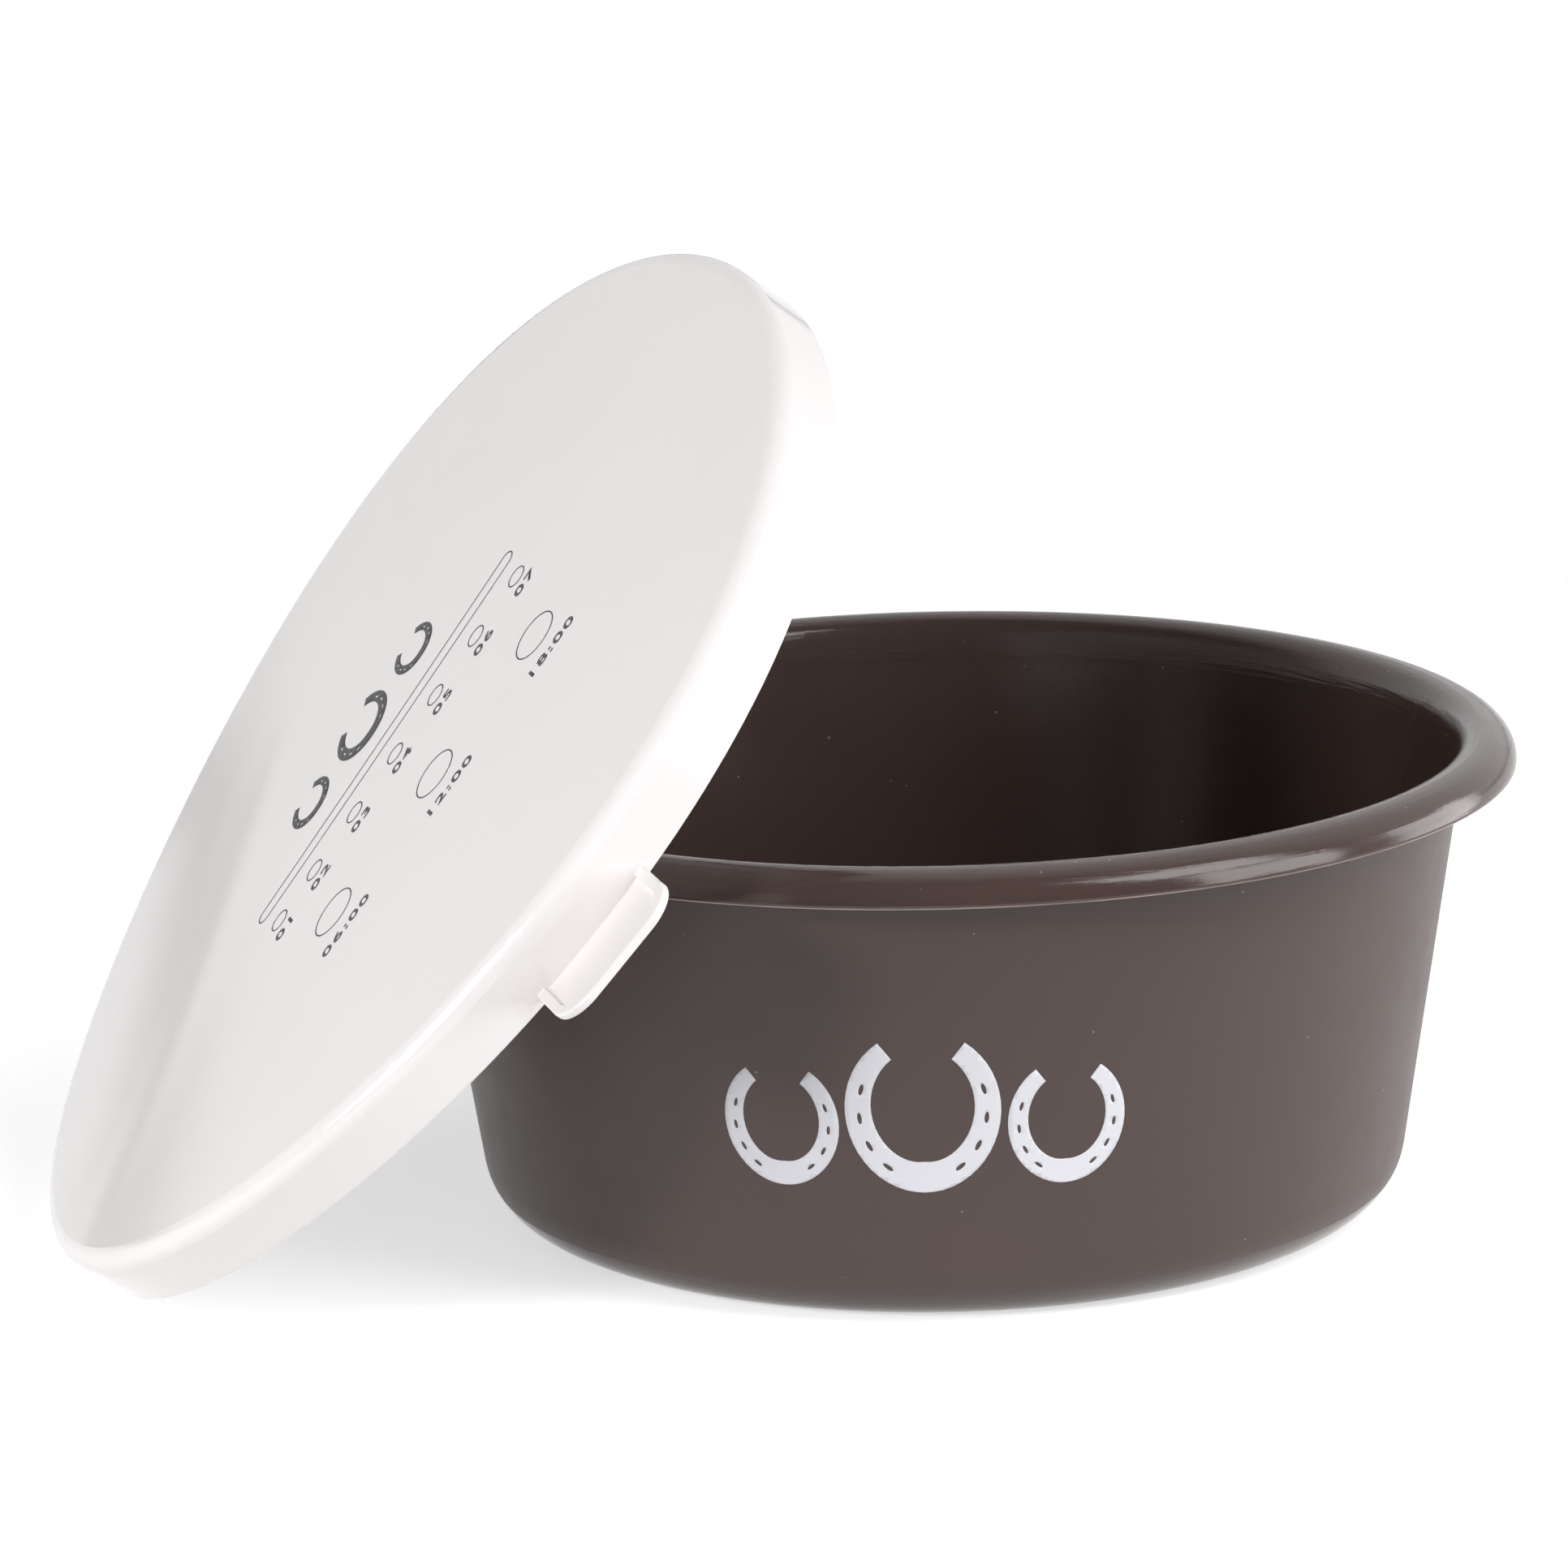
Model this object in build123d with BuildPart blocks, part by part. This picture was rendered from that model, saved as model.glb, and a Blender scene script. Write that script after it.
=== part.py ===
from build123d import *
import os
from math import cos, hypot, radians, sin

# A feed bowl with a soft lid. The bowl stands on the floor with the centre of its base
# at the origin, +Z up and its printed side towards -Y. The lid has been taken off: its
# lower edge stands on the floor and its underside leans on the left of the rim.
# All sizes are in millimetres and all angles in degrees.

# Bowl
rim_radius = 150.0        # outside of the turned-over rim
bowl_height = 124.0       # floor to the crown of the rim
bowl_wall = 2.4           # wall, base and rim are moulded to one thickness
base_radius = 118.2       # where the straight wall would meet the floor
base_corner = 17.0        # outer radius between base and wall
crown_run = 5.1           # from the top of the straight wall out to the crown of the rim
crown_width = 9.0         # from the crown out to the rim's edge
outer_drop = 7.6          # height of the curve from the crown out to the edge
inner_drop = 11.0         # height of the curve from the wall up to the crown
lip_length = 1.0          # short upright end of the rim
lip_round = 0.5           # rounding of that end

# Lid
lid_play = 0.3            # room between the rim and the inside of the skirt
lid_skirt = 1.5           # thickness of the skirt
lid_plate = 2.2           # thickness of the top
lid_depth = 18.0          # top to the free edge of the skirt
lid_edge = 4.6            # rounded edge between top and skirt
skirt_round = 0.5         # rounding of the skirt's free edge
bead_height = 1.8         # bead inside the skirt that snaps under the rim
bead_reach = 0.8          # how far the bead stands in
bead_play = 0.6           # room between the rim's lip and the bead
lid_flex = 5.7            # the soft lid is wound out of flat by this much at its edge
flex_turn = -6.9          # from the lid's downhill line to the first straight line of the winding

# Pull tab on the skirt
tab_width = 40.0
tab_reach = 25.0          # from the skirt to the tip
tab_step = 0.8            # its underside above the skirt's free edge
tab_thickness = 2.4
tab_corner = 10.0         # its two outer corners
tab_border = 2.8          # raised border round the shallow panel
tab_panel = 1.2           # depth of the panel
tab_round = 0.7           # rounding of the tab's edges

# The way the lid leans
lean_angle = 52.4         # of the lid from lying flat
lean_heading = 196.4      # compass of its downhill line, counted from +X
lean_gap = 0.3            # room left between the lid and the rim

# Worked out from the sizes above
crown_radius = rim_radius - crown_width
neck_radius = crown_radius - crown_run
neck_height = bowl_height - inner_drop
draft = (neck_radius - base_radius) / neck_height
wall_across = bowl_wall * hypot(draft, 1)
lip_top = bowl_height - outer_drop
lip_end = lip_top - lip_length
lid_radius = rim_radius + lid_play + lid_skirt
pocket_radius = lid_radius - lid_skirt
bead_top = lid_plate + outer_drop + lip_length + bead_play
tab_tip = lid_radius + tab_reach
tab_bottom = lid_depth - tab_step
tab_top = tab_bottom - tab_thickness
winding = 2 * lid_flex / lid_radius**2
up_the_wall = (draft, 1)
outwards = (1, 0)


def make_bowl():
    """One moulding: base, flared wall and a rim that turns over to an open lip."""
    with BuildPart() as bowl:
        with BuildSketch(Plane.XZ):
            with BuildLine():
                outside = FilletPolyline(
                    (0, 0),
                    (base_radius, 0),
                    (neck_radius, neck_height),
                    radius=base_corner,
                )
                inside = FilletPolyline(
                    (0, bowl_wall),
                    (base_radius + bowl_wall * draft - wall_across, bowl_wall),
                    (neck_radius - wall_across, neck_height),
                    radius=base_corner - bowl_wall,
                )
                Spline(
                    outside @ 1,
                    (crown_radius, bowl_height - bowl_wall),
                    tangents=(up_the_wall, outwards),
                )
                Spline(inside @ 1, (crown_radius, bowl_height), tangents=(up_the_wall, outwards))
                EllipticalCenterArc(
                    (crown_radius, lip_top), crown_width - bowl_wall, outer_drop - bowl_wall
                )
                EllipticalCenterArc((crown_radius, lip_top), crown_width, outer_drop)
                FilletPolyline(
                    (rim_radius - bowl_wall, lip_top),
                    (rim_radius - bowl_wall, lip_end),
                    (rim_radius, lip_end),
                    (rim_radius, lip_top),
                    radius=lip_round,
                )
                Line(outside @ 0, inside @ 0)
            make_face()
        revolve(axis=Axis.Z)
    return bowl


def wound_layer(top, bottom, footprint):
    """The space over a footprint between two depths below the lid's wound top surface."""
    box = footprint.sketch.bounding_box()
    middle = box.center().rotate(Axis.Z, -flex_turn)
    reach = 0.55 * box.diagonal
    corners = [
        [(u, v, winding * u * v - top) for v in (middle.Y - reach, middle.Y + reach)]
        for u in (middle.X - reach, middle.X + reach)
    ]
    surface = Face.make_bezier_surface(corners).rotate(Axis.Z, flex_turn)
    with BuildPart() as layer:
        extrude(surface, amount=bottom - top, dir=(0, 0, -1))
        extrude(footprint.sketch, amount=tab_tip, both=True, mode=Mode.INTERSECT)
    return layer


def free_edges(layer):
    """The edges of a layer's top and bottom faces that lie clear of the skirt."""
    faces = layer.faces().filter_by(GeomType.BEZIER).sort_by(Axis.Z)
    return [
        [edge for edge in face.edges() if hypot((edge @ 0.5).X, (edge @ 0.5).Y) > lid_radius + 1]
        for face in (faces[-1], faces[0])
    ]


def tab_shape(inset):
    """The tab seen from above, with its sides and tip drawn in by an inset."""
    tip = tab_tip - inset
    with BuildSketch() as shape:
        with Locations((0, (tip + pocket_radius) / 2)):
            Rectangle(tab_width - 2 * inset, tip - pocket_radius)
        fillet(shape.vertices().group_by(Axis.Y)[-1], tab_corner - inset)
    return shape


def make_tab():
    """A thumb tab that stands straight out from the skirt, with a sunk panel on top."""
    sunk = tab_shape(tab_border)
    with sunk:
        Circle(lid_radius, mode=Mode.SUBTRACT)
    panel = wound_layer(tab_top - tab_panel, tab_top + tab_panel, sunk)
    with panel:
        fillet(free_edges(panel)[1], tab_round)
    tab = wound_layer(tab_top, tab_bottom, tab_shape(0))
    with tab:
        top, bottom = free_edges(tab)
        fillet(top + bottom, tab_round)
        add(panel.part, mode=Mode.SUBTRACT)
    return tab


def make_lid():
    """One soft moulding: round top, skirt with a snap bead inside, and the pull tab."""
    with BuildSketch() as disc:
        Circle(lid_radius)
    with BuildSketch() as hollow:
        Circle(pocket_radius)
    with BuildSketch() as bead_ring:
        Circle(lid_radius)
        Circle(pocket_radius - bead_reach, mode=Mode.SUBTRACT)
    bead = wound_layer(bead_top, bead_top + bead_height, bead_ring)
    pocket = wound_layer(lid_plate, 2 * lid_depth, hollow)
    with pocket:
        fillet(pocket.faces().sort_by(Axis.Z)[-1].edges(), lid_edge - lid_skirt)
        add(bead.part, mode=Mode.SUBTRACT)
    tab = make_tab()
    lid = wound_layer(0, lid_depth, disc)
    with lid:
        fillet(lid.faces().sort_by(Axis.Z)[-1].edges(), lid_edge)
        fillet(lid.faces().sort_by(Axis.Z)[0].edges(), skirt_round)
        add(tab.part)
        add(pocket.part, mode=Mode.SUBTRACT)
    return lid


def leaning_plane():
    """The plane of the leaning lid's top: X runs downhill, Z points out of the lid.

    Its height follows from the lid's edge on the floor, its distance from the rim.
    """
    lean = radians(lean_angle)
    heading = radians(lean_heading)
    downhill = Vector(cos(heading) * cos(lean), sin(heading) * cos(lean), -sin(lean))
    outward = Vector(cos(heading) * sin(lean), sin(heading) * sin(lean), cos(lean))
    foot_radius = lid_radius - skirt_round
    foot_depth = lid_depth - skirt_round
    around = [radians(step) for step in range(-45, 46)]
    lifts = [lid_flex * sin(2 * (turn - radians(flex_turn))) for turn in around]
    centre_height = skirt_round + max(
        foot_radius * cos(turn) * sin(lean) + (foot_depth - lift) * cos(lean)
        for turn, lift in zip(around, lifts)
    )
    rim_reach = crown_radius * sin(lean) + lip_top * cos(lean)
    rim_reach += hypot(crown_width * sin(lean), outer_drop * cos(lean))
    top_reach = rim_reach + lean_gap + lid_plate
    slip = (top_reach * cos(lean) - centre_height) / sin(lean)
    return Plane(origin=outward * top_reach + downhill * slip, x_dir=downhill, z_dir=outward)


bowl = make_bowl()
bowl.part.label = "bowl"

lid = make_lid()
lid.part = lid.part.moved(leaning_plane().location)
lid.part.label = "lid"

os.makedirs("parts", exist_ok=True)
export_step(bowl.part, "parts/bowl.step")
export_step(lid.part, "parts/lid.step")
print("Bowl weight in polypropylene, grams:", round(bowl.part.volume * 0.0009))
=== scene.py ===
import math
import bmesh
import bpy
from mathutils import Matrix, Vector
from mathutils.bvhtree import BVHTree


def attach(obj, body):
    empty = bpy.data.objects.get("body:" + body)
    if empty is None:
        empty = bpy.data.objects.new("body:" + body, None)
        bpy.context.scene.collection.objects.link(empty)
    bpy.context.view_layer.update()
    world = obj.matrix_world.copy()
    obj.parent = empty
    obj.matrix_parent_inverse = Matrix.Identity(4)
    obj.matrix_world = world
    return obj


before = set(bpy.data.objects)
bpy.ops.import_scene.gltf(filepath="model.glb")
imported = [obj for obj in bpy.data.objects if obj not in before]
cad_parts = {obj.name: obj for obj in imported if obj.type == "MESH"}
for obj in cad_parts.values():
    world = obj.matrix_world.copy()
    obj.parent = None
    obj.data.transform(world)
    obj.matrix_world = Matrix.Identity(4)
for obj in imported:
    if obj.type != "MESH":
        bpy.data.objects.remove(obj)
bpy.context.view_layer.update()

scene = bpy.context.scene

# The bowl is one injection moulding in dark brown polypropylene, and stands on its flat
# base. The mould was satin for the outside of the wall and polished for the inside and the
# rolled rim. The rim has fine lines drawn round it. Its lip has a painted pale highlight.
bowl_brown = (0.064, 0.0405, 0.036, 1.0)
satin_gloss = 0.42
polished_gloss = 0.15
bowl_bump = 0.00004
wall_foot_radius = 0.1182
wall_draft = 0.15664
wall_half = 0.0012
rim_start = 0.112
rim_full = 0.115
rim_line_depth = 2.2
rim_line_stretch = (7.0, 900.0, 900.0)
lip_foot = 0.1154
lip_radius = 0.15
# A pale highlight painted into the colour along the lower edge of the lip: its width, fade,
# breaks, strength and colour.
lip_highlight_width = 0.0012
lip_highlight_fade = (lip_foot + 0.0002, lip_foot + 0.0006)
lip_highlight_breaks = (0.3, 0.6)
lip_highlight_strength = (0.35, 1.0)
lip_highlight_colour = (0.42, 0.33, 0.30, 1.0)

# The skin that both mouldings and both inks share.
cloud_scale = 14.0
patch_scale = 55.0
grain_scale = 2600.0
wave_scale = 38.0
middle_of_noise = (0.3, 0.7)
hairline_turn = (0.3, 0.5, 0.9)
hairline_stretch = (26.0, 1500.0, 26.0)
hairline_peaks = (0.86, 0.89)
hairline_patches = (0.5, 0.7)
hairline_depth = 0.2
dust_scale = 240.0
speck_edge = (0.05, 0.10)
speck_share = (0.93, 0.94)
dust_grey = (0.55, 0.52, 0.50, 1.0)
dust_dulls = 0.3


def add_node(tree, kind, **settings):
    """A new node with its named settings, and its inputs set or linked by name."""
    inputs = settings.pop("inputs", {})
    node = tree.nodes.new(kind)
    for name, value in settings.items():
        setattr(node, name, value)
    for name, value in inputs.items():
        if isinstance(value, bpy.types.NodeSocket):
            tree.links.new(value, node.inputs[name])
        else:
            node.inputs[name].default_value = value
    return node


def math_step(tree, operation, *terms):
    """The result of one step of arithmetic."""
    inputs = dict(enumerate(terms))
    node = add_node(tree, "ShaderNodeMath", operation=operation, inputs=inputs)
    return node.outputs["Value"]


def vector_step(tree, operation, *terms):
    """The vector, or the number, that one step of vector arithmetic gives."""
    inputs = dict(enumerate(terms))
    node = add_node(tree, "ShaderNodeVectorMath", operation=operation, inputs=inputs)
    gives_number = operation in ("LENGTH", "DISTANCE", "DOT_PRODUCT")
    return node.outputs["Value" if gives_number else "Vector"]


def ramp(tree, value, given, wanted, soft=False):
    """A value carried from one range to another and held at its ends."""
    return add_node(
        tree,
        "ShaderNodeMapRange",
        interpolation_type="SMOOTHSTEP" if soft else "LINEAR",
        inputs={
            "Value": value,
            "From Min": given[0],
            "From Max": given[1],
            "To Min": wanted[0],
            "To Max": wanted[1],
        },
    ).outputs["Result"]


def noise(tree, place, scale, detail, roughness=0.5):
    """A cloudy value from zero to one that changes over the surface."""
    return add_node(
        tree,
        "ShaderNodeTexNoise",
        inputs={"Vector": place, "Scale": scale, "Detail": detail, "Roughness": roughness},
    ).outputs["Fac"]


def blend(tree, factor, first, second, kind="RGBA"):
    """A mix of two colours, or of two numbers."""
    inputs = {"Factor": factor, "A": first, "B": second}
    return add_node(tree, "ShaderNodeMix", data_type=kind, inputs=inputs).outputs["Result"]


def moulded_skin():
    """The shared skin: cloudy tint, uneven polish, fine grain, hairlines and dust."""
    group = bpy.data.node_groups.new("moulded_skin", "ShaderNodeTree")
    face = group.interface
    face.new_socket("Place", in_out="INPUT", socket_type="NodeSocketVector")
    face.new_socket("Colour", in_out="INPUT", socket_type="NodeSocketColor")
    for name in ("Clouding", "Gloss", "Gloss Spread", "Grain", "Waves", "Hairlines", "Dust"):
        face.new_socket(name, in_out="INPUT", socket_type="NodeSocketFloat")
    face.new_socket("Colour", in_out="OUTPUT", socket_type="NodeSocketColor")
    face.new_socket("Roughness", in_out="OUTPUT", socket_type="NodeSocketFloat")
    face.new_socket("Height", in_out="OUTPUT", socket_type="NodeSocketFloat")
    source = group.nodes.new("NodeGroupInput").outputs
    place = source["Place"]

    def times(first, second):
        return math_step(group, "MULTIPLY", first, second)

    clouds = noise(group, place, cloud_scale, detail=3.0)
    patches = noise(group, place, patch_scale, detail=4.0, roughness=0.6)
    grain = noise(group, place, grain_scale, detail=2.0)
    waves = noise(group, place, wave_scale, detail=1.0)

    stretched = add_node(
        group,
        "ShaderNodeMapping",
        inputs={"Vector": place, "Rotation": hairline_turn, "Scale": hairline_stretch},
    ).outputs["Vector"]
    streaks = noise(group, stretched, scale=1.0, detail=0.0)
    hairlines = ramp(group, streaks, hairline_peaks, (0.0, 1.0))
    hairlines = times(hairlines, ramp(group, patches, hairline_patches, (0.0, 1.0)))
    hairlines = times(hairlines, source["Hairlines"])

    cells = add_node(
        group,
        "ShaderNodeTexVoronoi",
        inputs={"Vector": place, "Scale": dust_scale, "Randomness": 1.0},
    ).outputs
    pick = add_node(group, "ShaderNodeSeparateColor", inputs={"Color": cells["Color"]})
    specks = ramp(group, cells["Distance"], speck_edge, (1.0, 0.0))
    specks = times(specks, ramp(group, pick.outputs["Red"], speck_share, (0.0, 1.0)))
    dust = times(specks, source["Dust"])

    tint = times(ramp(group, clouds, middle_of_noise, (-1.0, 1.0)), source["Clouding"])
    clouded = add_node(
        group,
        "ShaderNodeVectorMath",
        operation="SCALE",
        inputs={0: source["Colour"], "Scale": math_step(group, "ADD", tint, 1.0)},
    ).outputs["Vector"]

    spread = ramp(group, patches, middle_of_noise, (-1.0, 1.0))
    roughness = math_step(group, "ADD", source["Gloss"], times(spread, source["Gloss Spread"]))
    roughness = math_step(group, "ADD", roughness, times(dust, dust_dulls))

    height = math_step(
        group, "ADD", times(grain, source["Grain"]), times(waves, source["Waves"])
    )
    height = math_step(group, "SUBTRACT", height, times(hairlines, hairline_depth))

    out = group.nodes.new("NodeGroupOutput").inputs
    group.links.new(blend(group, dust, clouded, dust_grey), out["Colour"])
    group.links.new(roughness, out["Roughness"])
    group.links.new(height, out["Height"])
    return group


skin = moulded_skin()


def plastic(name, bump_distance, finish):
    """A material with the shared skin, set to one finish and placed by the mesh."""
    material = bpy.data.materials.new(name)
    material.use_nodes = True
    tree = material.node_tree
    shader = tree.nodes["Principled BSDF"]
    place = add_node(tree, "ShaderNodeTexCoord", name="place").outputs["Object"]
    surface = add_node(
        tree, "ShaderNodeGroup", name="skin", node_tree=skin, inputs={"Place": place, **finish}
    ).outputs
    bump = add_node(
        tree,
        "ShaderNodeBump",
        name="bump",
        inputs={"Height": surface["Height"], "Distance": bump_distance, "Strength": 1.0},
    )
    tree.links.new(surface["Colour"], shader.inputs["Base Color"])
    tree.links.new(surface["Roughness"], shader.inputs["Roughness"])
    tree.links.new(bump.outputs["Normal"], shader.inputs["Normal"])
    return material


def dress(node, material):
    """Gives a moulding its material."""
    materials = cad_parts[node].data.materials
    materials.clear()
    materials.append(material)


bowl_plastic = plastic(
    "bowl_plastic",
    bowl_bump,
    {
        "Colour": bowl_brown,
        "Clouding": 0.05,
        "Gloss Spread": 0.03,
        "Grain": 0.35,
        "Waves": 0.25,
        "Hairlines": 0.5,
        "Dust": 0.35,
    },
)
tree = bowl_plastic.node_tree
shader = tree.nodes["Principled BSDF"]
shader.inputs["IOR"].default_value = 1.49
surface = tree.nodes["skin"]
place = tree.nodes["place"].outputs["Object"]
axes = add_node(tree, "ShaderNodeSeparateXYZ", inputs={"Vector": place}).outputs
radius = vector_step(tree, "LENGTH", vector_step(tree, "MULTIPLY", place, (1.0, 1.0, 0.0)))

wall_middle = math_step(
    tree, "MULTIPLY_ADD", axes["Z"], wall_draft, wall_foot_radius - wall_half
)
outside = math_step(tree, "GREATER_THAN", radius, wall_middle)
below_rim = ramp(tree, axes["Z"], (rim_start, rim_full), (1.0, 0.0))
satin = math_step(tree, "MULTIPLY", outside, below_rim)
gloss = ramp(tree, satin, (0.0, 1.0), (polished_gloss, satin_gloss))
tree.links.new(gloss, surface.inputs["Gloss"])

turn = math_step(tree, "ARCTAN2", axes["Y"], axes["X"])
round_place = add_node(
    tree, "ShaderNodeCombineXYZ", inputs={"X": turn, "Y": radius, "Z": axes["Z"]}
).outputs["Vector"]
drawn_out = vector_step(tree, "MULTIPLY", round_place, rim_line_stretch)
rim_lines = noise(tree, drawn_out, scale=1.0, detail=2.0)
on_rim = math_step(tree, "MULTIPLY_ADD", below_rim, -rim_line_depth, rim_line_depth)
height = math_step(tree, "MULTIPLY_ADD", rim_lines, on_rim, surface.outputs["Height"])
tree.links.new(height, tree.nodes["bump"].inputs["Height"])

# Painted highlight: the base colour turns pale along the lower edge of the lip, broken up by
# the rim lines.
lip_low = ramp(tree, axes["Z"], lip_highlight_fade, (1.0, 0.0))
lip_out = math_step(tree, "GREATER_THAN", radius, lip_radius - lip_highlight_width)
painted_lip_highlight = ramp(tree, rim_lines, lip_highlight_breaks, lip_highlight_strength)
painted_lip_highlight = math_step(tree, "MULTIPLY", math_step(tree, "MULTIPLY", lip_low, lip_out), painted_lip_highlight)
with_lip_highlight = blend(tree, painted_lip_highlight, surface.outputs["Colour"], lip_highlight_colour)
tree.links.new(with_lip_highlight, shader.inputs["Base Color"])
dress("bowl", bowl_plastic)

# The mark on the bowl is one pass of white pad-printing ink on the front of the wall. It
# is a plain row of horseshoes, the middle one the largest. The ink lies on the wall as a
# film, and follows its curve and its lean.
mark_turn = math.radians(-2.3)
mark_height = 0.0583
mark_shoes = ((-0.036, -0.004, 0.034), (0.0, 0.0, 0.044), (0.036, -0.004, 0.034))
ink_film = 0.00004
ink_lift = 0.00003
ink_bump = 0.00002
wall_cell = 0.0015


def horseshoe(centre, height):
    """Outline loops of a horseshoe, open end up, with four nail slots in each branch."""
    half_width = 0.44 * height
    half_height = 0.5 * height
    web = 0.19 * height
    heel_taper = 0.35
    opening = math.radians(147)
    steps = 40
    nail_turns = (36, 60, 84, 108)
    nail_depth = 0.42 * web
    nail_long = 0.036 * height
    nail_short = 0.013 * height
    nail_sides = 12
    small_turn = 0.02

    def on_shoe(turn, depth):
        rim = Vector((half_width * math.sin(turn), -half_height * math.cos(turn)))
        inward = Vector((-half_height * math.sin(turn), half_width * math.cos(turn)))
        return centre + rim + inward.normalized() * depth

    turns = [opening * (2 * step / steps - 1) for step in range(steps + 1)]
    outer = [on_shoe(turn, 0.0) for turn in turns]
    inner = [
        on_shoe(turn, web * (1.0 - heel_taper * abs(turn) / opening))
        for turn in reversed(turns)
    ]
    loops = [outer + inner]
    for side in (-1, 1):
        for nail_turn in nail_turns:
            turn = side * math.radians(nail_turn)
            middle = on_shoe(turn, nail_depth)
            along = (on_shoe(turn + small_turn, nail_depth) - middle).normalized()
            across = Vector((-along.y, along.x))
            corners = [math.tau * corner / nail_sides for corner in range(nail_sides)]
            loops.append(
                [
                    middle + along * nail_long * math.cos(a) + across * nail_short * math.sin(a)
                    for a in corners
                ]
            )
    return loops


def flat_mesh(curve):
    """The filled faces of a flat curve or text as a bmesh."""
    holder = bpy.data.objects.new("outline", curve)
    scene.collection.objects.link(holder)
    depsgraph = bpy.context.evaluated_depsgraph_get()
    mesh = bpy.data.meshes.new_from_object(holder.evaluated_get(depsgraph))
    flat = bmesh.new()
    flat.from_mesh(mesh)
    bpy.data.objects.remove(holder)
    bpy.data.curves.remove(curve)
    bpy.data.meshes.remove(mesh)
    return flat


def filled(loops):
    """A flat mesh that fills outline loops, with inner loops left open as holes."""
    curve = bpy.data.curves.new("outline", "CURVE")
    curve.dimensions = "2D"
    curve.fill_mode = "BOTH"
    for loop in loops:
        spline = curve.splines.new("POLY")
        spline.points.add(len(loop) - 1)
        for point, corner in zip(spline.points, loop):
            point.co = (corner.x, corner.y, 0.0, 1.0)
        spline.use_cyclic_u = True
    return flat_mesh(curve)


def cut_in_cells(ink, cell):
    """Cuts flat ink into small cells both ways, so that it can follow a curved surface."""
    for axis in (0, 1):
        normal = [0.0, 0.0, 0.0]
        normal[axis] = 1.0
        low = min(vert.co[axis] for vert in ink.verts)
        high = max(vert.co[axis] for vert in ink.verts)
        for step in range(1, math.ceil((high - low) / cell)):
            cut = [0.0, 0.0, 0.0]
            cut[axis] = low + step * cell
            everything = ink.verts[:] + ink.edges[:] + ink.faces[:]
            bmesh.ops.bisect_plane(
                ink, geom=everything, dist=1e-8, plane_co=cut, plane_no=normal
            )
    bmesh.ops.triangulate(ink, faces=ink.faces)
    bmesh.ops.recalc_face_normals(ink, faces=ink.faces)
    if sum(face.normal.z for face in ink.faces) < 0:
        bmesh.ops.reverse_faces(ink, faces=ink.faces)


def print_on(name, sheets, lay, cell, material, body):
    """Lays flat sheets of ink on a moulding and gives them a film's thickness."""
    ink = bmesh.new()
    for sheet in sheets:
        part = bpy.data.meshes.new("sheet")
        sheet.to_mesh(part)
        sheet.free()
        ink.from_mesh(part)
        bpy.data.meshes.remove(part)
    bmesh.ops.remove_doubles(ink, verts=ink.verts, dist=1e-7)
    cut_in_cells(ink, cell)
    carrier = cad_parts[body].data
    ground = BVHTree.FromPolygons(
        [vert.co for vert in carrier.vertices], [face.vertices for face in carrier.polygons]
    )
    for vert in ink.verts:
        spot, normal, _, _ = ground.find_nearest(lay(vert.co.x, vert.co.y))
        vert.co = spot + normal * ink_lift
    mesh = bpy.data.meshes.new(name)
    ink.to_mesh(mesh)
    ink.free()
    mesh.shade_smooth()
    mesh.materials.append(material)
    piece = bpy.data.objects.new(name, mesh)
    scene.collection.objects.link(piece)
    film = piece.modifiers.new("film", "SOLIDIFY")
    film.thickness = ink_film
    film.offset = 1.0
    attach(piece, body)


def on_wall(across, up):
    """The place on the outside of the wall for a point of the flat artwork."""
    height = mark_height + up * math.cos(math.atan(wall_draft))
    wall_radius = wall_foot_radius + wall_draft * height
    turn = mark_turn + across / (wall_foot_radius + wall_draft * mark_height)
    return Vector((wall_radius * math.sin(turn), -wall_radius * math.cos(turn), height))


white_ink = plastic(
    "white_ink",
    ink_bump,
    {
        "Colour": (0.74, 0.74, 0.79, 1.0),
        "Clouding": 0.02,
        "Gloss": 0.5,
        "Gloss Spread": 0.05,
        "Grain": 0.6,
        "Waves": 0.2,
        "Hairlines": 0.2,
        "Dust": 0.0,
    },
)
shoes = [filled(horseshoe(Vector((across, up)), tall)) for across, up, tall in mark_shoes]
print_on("bowl_print", shoes, on_wall, wall_cell, white_ink, "bowl")

# The lid is one soft moulding in white polyethylene, with its snap bead and pull tab. It
# has been taken off and leans on the rim with its foot on the floor, a little wound out
# of flat. Its glossy top sags on one side, past a crest that runs slantwise across it.
lid_white = (0.88, 0.842, 0.842, 1.0)
lid_bump = 0.00005
lid_centre = Vector((-0.138236, -0.0406849, 0.130415))
lid_lean = math.radians(52.4)
lid_heading = math.radians(196.4)
heading = Vector((math.cos(lid_heading), math.sin(lid_heading), 0.0))
upright = Vector((0.0, 0.0, 1.0))
downhill = heading * math.cos(lid_lean) - upright * math.sin(lid_lean)
outward = heading * math.sin(lid_lean) + upright * math.cos(lid_lean)
towards_tab = outward.cross(downhill)

crest_slant = 0.669
crest_slope = 0.743
crest_place = lid_centre + downhill * 0.050 - towards_tab * 0.060
crest_out = downhill * crest_slant - towards_tab * crest_slope
crest_run = downhill * crest_slope + towards_tab * crest_slant
crest_fade = (-0.075, -0.025)
sag = -0.16
swell_height = 0.00014
swell_width = 0.012
swell_back = 0.004

smudge_place = lid_centre + downhill * 0.020 + towards_tab * 0.1525 - outward * 0.0150
smudge_reach = (0.001, 0.010)
smudge_depth = 0.3
smudge_blots = 420.0
smudge_brown = (0.50, 0.36, 0.28, 1.0)

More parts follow.
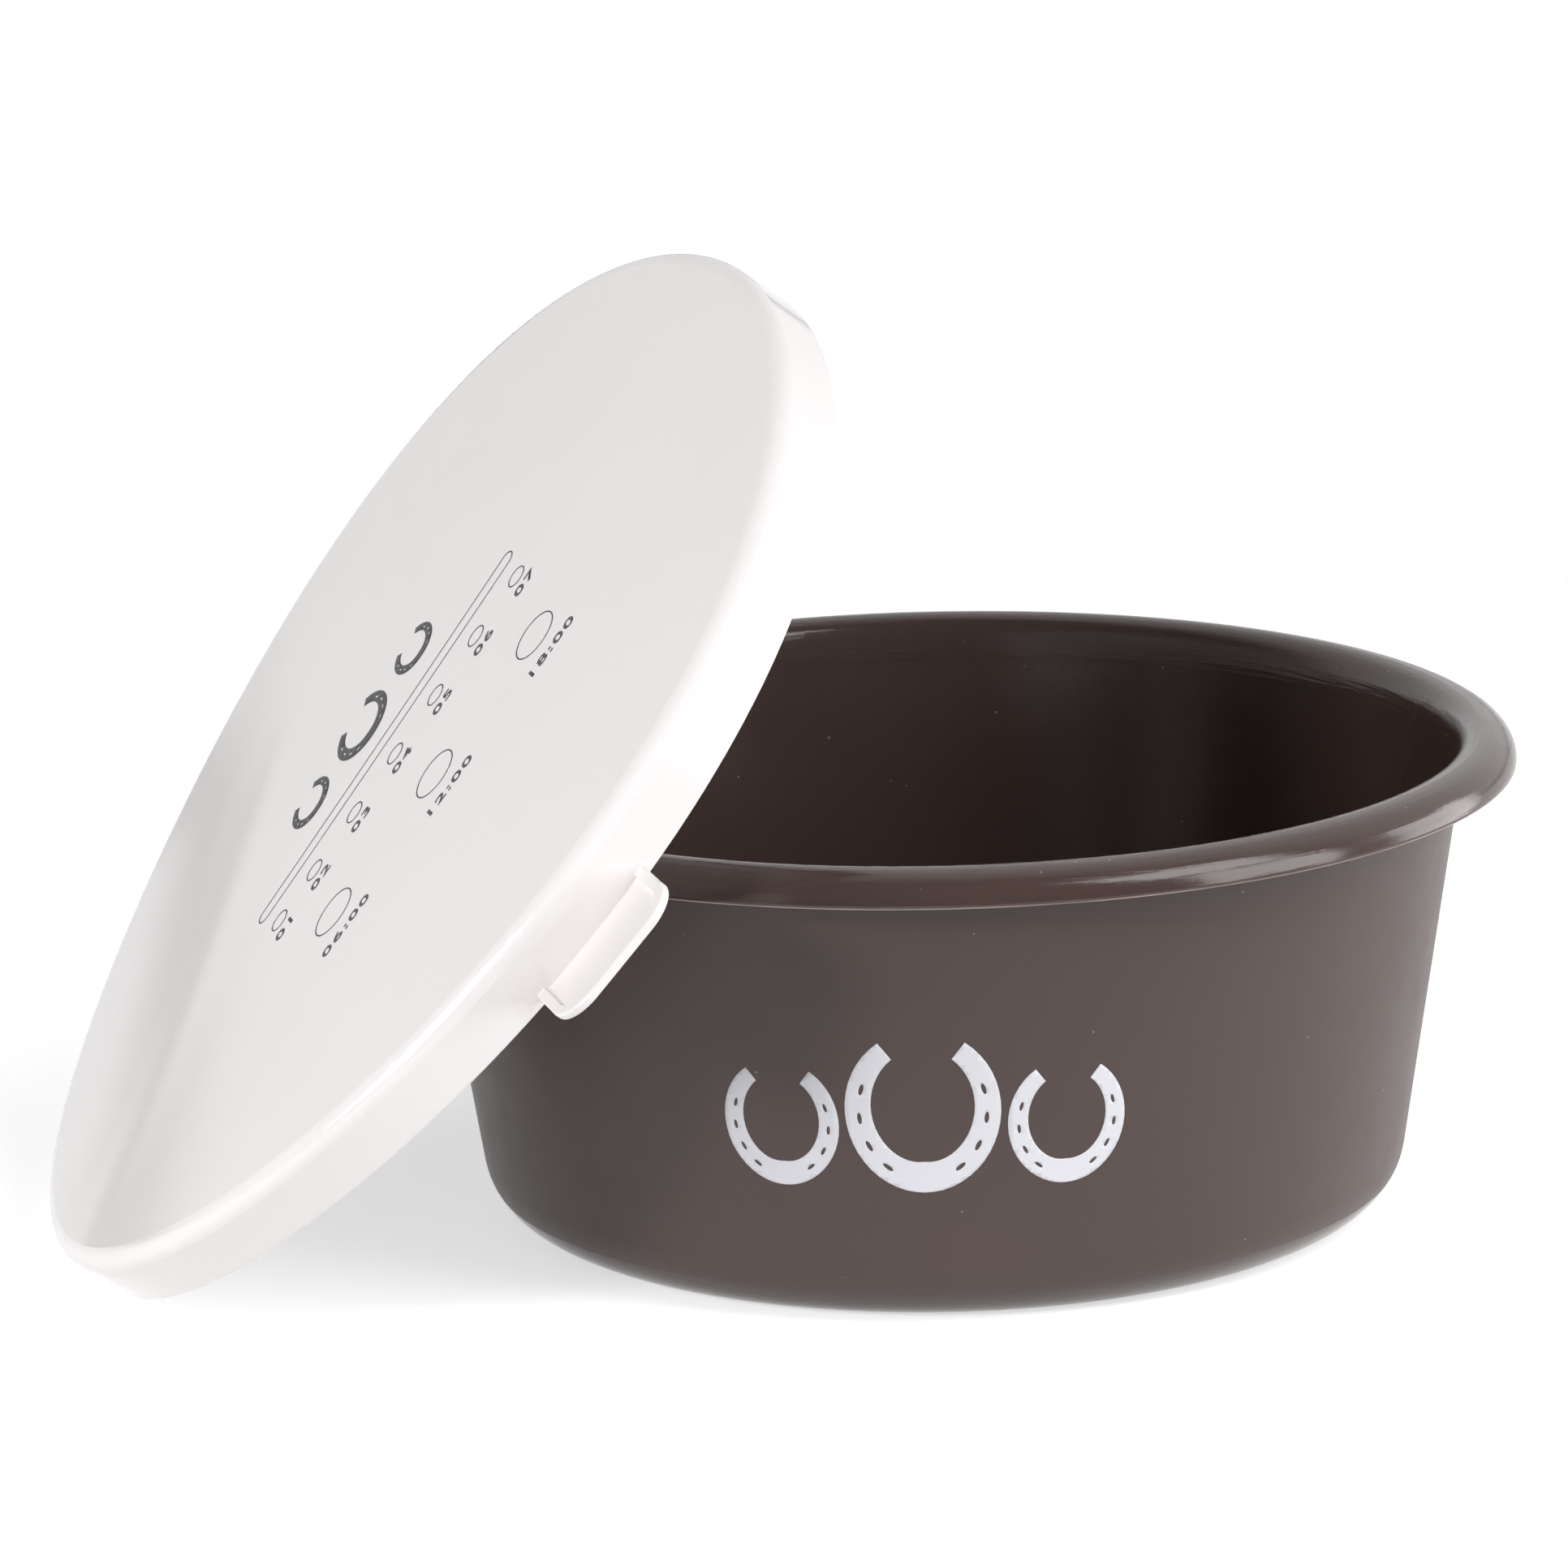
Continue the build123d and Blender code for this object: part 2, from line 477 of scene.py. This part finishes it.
lid_plastic = plastic(
    "lid_plastic",
    lid_bump,
    {
        "Colour": lid_white,
        "Clouding": 0.012,
        "Gloss": 0.07,
        "Gloss Spread": 0.01,
        "Grain": 0.25,
        "Waves": 0.3,
        "Hairlines": 0.25,
        "Dust": 0.0,
    },
)
tree = lid_plastic.node_tree
shader = tree.nodes["Principled BSDF"]
shader.inputs["IOR"].default_value = 1.51
surface = tree.nodes["skin"]
place = tree.nodes["place"].outputs["Object"]

from_crest = vector_step(tree, "SUBTRACT", place, crest_place)
past_crest = vector_step(tree, "DOT_PRODUCT", from_crest, crest_out)
along_crest = vector_step(tree, "DOT_PRODUCT", from_crest, crest_run)
droop = math_step(tree, "POWER", math_step(tree, "MAXIMUM", past_crest, 0.0), 2.0)
droop = math_step(tree, "MULTIPLY", droop, sag)
swell = math_step(tree, "DIVIDE", math_step(tree, "ADD", past_crest, swell_back), swell_width)
swell = math_step(tree, "MULTIPLY", math_step(tree, "MULTIPLY", swell, swell), -1.0)
swell = math_step(tree, "MULTIPLY", math_step(tree, "POWER", math.e, swell), swell_height)
window = ramp(tree, along_crest, crest_fade, (0.0, 1.0), soft=True)
form = math_step(tree, "MULTIPLY", math_step(tree, "ADD", droop, swell), window)
form = math_step(tree, "DIVIDE", form, lid_bump)
height = math_step(tree, "ADD", form, surface.outputs["Height"])
tree.links.new(height, tree.nodes["bump"].inputs["Height"])

from_smudge = vector_step(tree, "DISTANCE", place, smudge_place)
smudge = ramp(tree, from_smudge, smudge_reach, (smudge_depth, 0.0), soft=True)
blots = noise(tree, place, smudge_blots, detail=3.0)
smudge = math_step(tree, "MULTIPLY", smudge, blots)
soiled = blend(tree, smudge, surface.outputs["Colour"], smudge_brown)
tree.links.new(soiled, shader.inputs["Base Color"])
dress("lid", lid_plastic)

# The marks on the lid are thin dark grey ink on its top: a long track, seven small rings
# and three large ones with a number under each, and a row of horseshoes above the track.
# The artwork is drawn in millimetres, and reads with the pull tab at the bottom.
lid_flex = 0.0057
lid_radius = 0.1518
flex_turn = math.radians(-6.9)
lid_cell = 0.004
millimetre = 0.001
line_width = 0.42
ring_sides = 96
track = (-2.1, -12.4, 2.65, 54.8)
ring_across = (50.9, 35.3, 17.4, -0.8, -18.9, -37.1, -55.4)
ring_down = 1.1
ring_half = 3.1
dial_places = ((38.9, 34.6), (-4.1, 36.0), (-46.9, 37.1))
dial_hours = (6, 12, 18)
dial_half = 7.1
label_height = 3.8
label_gap = 5.6
label_spacing = 1.15
label_widening = 1.45
label_bolder = 0.018
shoe_places = ((24.0, 18.0), (0.0, 24.0), (-24.0, 18.0))
shoe_line = -35.0


def ring(across, down, half_width, half_length=0.0):
    """Two loops of a thin ring, or of a long rounded track where it has a half length."""
    loops = []
    for reach in (half_width + line_width / 2, half_width - line_width / 2):
        loop = []
        for step in range(ring_sides):
            turn = math.tau * (step + 0.5) / ring_sides
            end = math.copysign(half_length, math.cos(turn))
            corner = (across + end + reach * math.cos(turn), down + reach * math.sin(turn))
            loop.append(Vector(corner) * millimetre)
        loops.append(loop)
    return loops


def label(text, across, top):
    """Wide numerals centred across, with their tops on a line."""
    curve = bpy.data.curves.new("label", "FONT")
    curve.body = text
    curve.align_x = "CENTER"
    curve.offset = label_bolder
    curve.space_character = label_spacing
    flat = flat_mesh(curve)
    size = label_height * millimetre / max(vert.co.y for vert in flat.verts)
    for vert in flat.verts:
        lid_across = across * millimetre - vert.co.x * size * label_widening
        lid_down = (top + label_height) * millimetre - vert.co.y * size
        vert.co = Vector((lid_across, lid_down, 0.0))
    return flat


def on_lid(across, down):
    """The place on the lid's wound top for a point of the flat artwork."""
    u = across * math.cos(flex_turn) + down * math.sin(flex_turn)
    v = down * math.cos(flex_turn) - across * math.sin(flex_turn)
    lift = 2 * lid_flex * u * v / lid_radius**2
    return lid_centre + downhill * across + towards_tab * down + outward * lift


grey_ink = plastic(
    "grey_ink",
    ink_bump,
    {
        "Colour": (0.045, 0.043, 0.050, 1.0),
        "Clouding": 0.05,
        "Gloss": 0.5,
        "Gloss Spread": 0.05,
        "Grain": 0.3,
        "Waves": 0.2,
        "Hairlines": 0.1,
        "Dust": 0.0,
    },
)
sheets = [filled(ring(*track))]
for number, across in enumerate(ring_across, start=1):
    sheets.append(filled(ring(across, ring_down, ring_half)))
    sheets.append(label(f"{number:02d}", across, ring_down + label_gap))
for hour, (across, down) in zip(dial_hours, dial_places):
    sheets.append(filled(ring(across, down, dial_half)))
    sheets.append(label(f"{hour:02d}:00", across, down + dial_half + label_gap))
for across, tall in shoe_places:
    shoe = filled(horseshoe(Vector((0.0, 0.0)), tall * millimetre))
    for vert in shoe.verts:
        lid_across = across * millimetre - vert.co.x
        lid_down = shoe_line * millimetre - vert.co.y
        vert.co = Vector((lid_across, lid_down, 0.0))
    sheets.append(shoe)
print_on("lid_print", sheets, on_lid, lid_cell, grey_ink, "lid")

# The floor is a round sheet of matt white board, just under the bowl's base. The camera
# and the gloss of the plastic see it as plain white, and it keeps the soft shadow of the
# bowl and the lid.
floor_radius = 0.75
floor_sides = 96
floor_drop = 0.0003
floor_grey = (0.8, 0.8, 0.8, 1.0)
floor_glow = 0.62
plain_white = (1.0, 1.0, 1.0, 1.0)
backdrop_rays = ("Is Camera Ray", "Is Glossy Ray", "Is Transmission Ray")


def sees_backdrop(tree):
    """One for the rays that are to see the plain white backdrop, and zero for the rest."""
    path = tree.nodes.new("ShaderNodeLightPath").outputs
    level = path[backdrop_rays[0]]
    for kind in backdrop_rays[1:]:
        level = math_step(tree, "MAXIMUM", level, path[kind])
    return level


floor_corners = []
for side in range(floor_sides):
    turn = math.tau * side / floor_sides
    floor_corners.append(
        (floor_radius * math.cos(turn), floor_radius * math.sin(turn), -floor_drop)
    )
floor_mesh = bpy.data.meshes.new("floor")
floor_mesh.from_pydata(floor_corners, [], [tuple(range(floor_sides))])
floor = bpy.data.objects.new("floor", floor_mesh)
scene.collection.objects.link(floor)

floor_white = bpy.data.materials.new("floor_white")
floor_white.use_nodes = True
tree = floor_white.node_tree
shader = tree.nodes["Principled BSDF"]
shader.inputs["Base Color"].default_value = floor_grey
shader.inputs["Roughness"].default_value = 1.0
shader.inputs["Specular IOR Level"].default_value = 0.0
glow_level = math_step(tree, "MULTIPLY", sees_backdrop(tree), floor_glow)
glow = add_node(
    tree, "ShaderNodeEmission", inputs={"Color": plain_white, "Strength": glow_level}
)
both = add_node(
    tree, "ShaderNodeAddShader", inputs={0: shader.outputs["BSDF"], 1: glow.outputs["Emission"]}
)
tree.links.new(both.outputs["Shader"], tree.nodes["Material Output"].inputs["Surface"])
floor_mesh.materials.append(floor_white)

# The studio beyond the floor is white to the camera. Gloss sees it dimmer on the camera's
# side, and with a dark gap low down between the sweep and the panels of the walls. It
# lights the object only a little.
room_light = 0.02
room_dim = 0.15
room_front = -0.2
room_back = 0.4
gap_dim = 0.25
sweep_top = (0.020, 0.024)
panel_foot = (0.050, 0.080)
studio = bpy.data.worlds.new("studio")
scene.world = studio
studio.use_nodes = True
tree = studio.node_tree
direction = tree.nodes.new("ShaderNodeTexCoord").outputs["Generated"]
axes = add_node(tree, "ShaderNodeSeparateXYZ", inputs={"Vector": direction}).outputs
behind = ramp(tree, axes["Y"], (room_front, room_back), (room_dim, 1.0), soft=True)
above_sweep = ramp(tree, axes["Z"], sweep_top, (0.0, 1.0), soft=True)
under_panel = ramp(tree, axes["Z"], panel_foot, (1.0, 0.0), soft=True)
gap = math_step(tree, "MULTIPLY", above_sweep, under_panel)
open_gap = ramp(tree, gap, (0.0, 1.0), (1.0, gap_dim), soft=True)
room = math_step(tree, "MULTIPLY", behind, open_gap)
path = tree.nodes.new("ShaderNodeLightPath").outputs
backdrop = blend(tree, path["Is Glossy Ray"], 1.0, room, "FLOAT")
level = blend(tree, sees_backdrop(tree), room_light, backdrop, "FLOAT")
background = tree.nodes["Background"]
background.inputs["Color"].default_value = plain_white
tree.links.new(level, background.inputs["Strength"])

# The camera is a long lens on a stand, two metres in front of the bowl and higher than
# its rim. It looks down at the bowl and is rolled by a degree and a half.
camera_place = Vector((0.0, -2.04579, 0.61389))
camera_aim = -0.0193554
camera_drop = 0.2411162
camera_roll = -0.0257306
camera_data = bpy.data.cameras.new("camera")
camera_data.sensor_width = 36.0
camera_data.lens = 186.335
camera = bpy.data.objects.new("camera", camera_data)
scene.collection.objects.link(camera)
scene.camera = camera
scene.view_settings.view_transform = "Standard"
forward = Vector(
    (
        math.sin(camera_aim) * math.cos(camera_drop),
        math.cos(camera_aim) * math.cos(camera_drop),
        -math.sin(camera_drop),
    )
)
level_right = Vector((math.cos(camera_aim), -math.sin(camera_aim), 0.0))
level_up = level_right.cross(forward)
right = math.cos(camera_roll) * level_right + math.sin(camera_roll) * level_up
up = -math.sin(camera_roll) * level_right + math.cos(camera_roll) * level_up
turn = Matrix((right, up, -forward)).transposed().to_4x4()
camera.matrix_world = Matrix.Translation(camera_place) @ turn

# The lamps are soft boxes that face the bowl: three on the right, high, low and behind,
# and a large one on the left. A small one at the front left fills the lid and leaves no
# streak in its gloss. Each has its place, its width in metres and its power in watts.
lamps_face = Vector((0.0, 0.0, 0.08))
tallest_lamp = 1.2
for name, place, wide, power in (
    ("key_box", Vector((1.43, -0.83, 1.68)), 1.3, 27.0),
    ("side_box", Vector((2.06, -0.92, 0.56)), 1.3, 26.0),
    ("edge_box", Vector((2.11, 0.85, 0.4)), 1.2, 16.0),
    ("fill_box", Vector((-1.87, -1.17, 0.75)), 1.2, 25.0),
    ("front_box", Vector((-1.11, -1.78, 1.02)), 0.35, 18.0),
):
    lamp = bpy.data.lights.new(name, "AREA")
    lamp.shape = "RECTANGLE"
    lamp.size = wide
    lamp.size_y = min(wide, tallest_lamp)
    lamp.energy = power
    box = bpy.data.objects.new(name, lamp)
    box.visible_glossy = name != "front_box"
    scene.collection.objects.link(box)
    facing = (place - lamps_face).to_track_quat("Z", "Y")
    box.matrix_world = Matrix.Translation(place) @ facing.to_matrix().to_4x4()
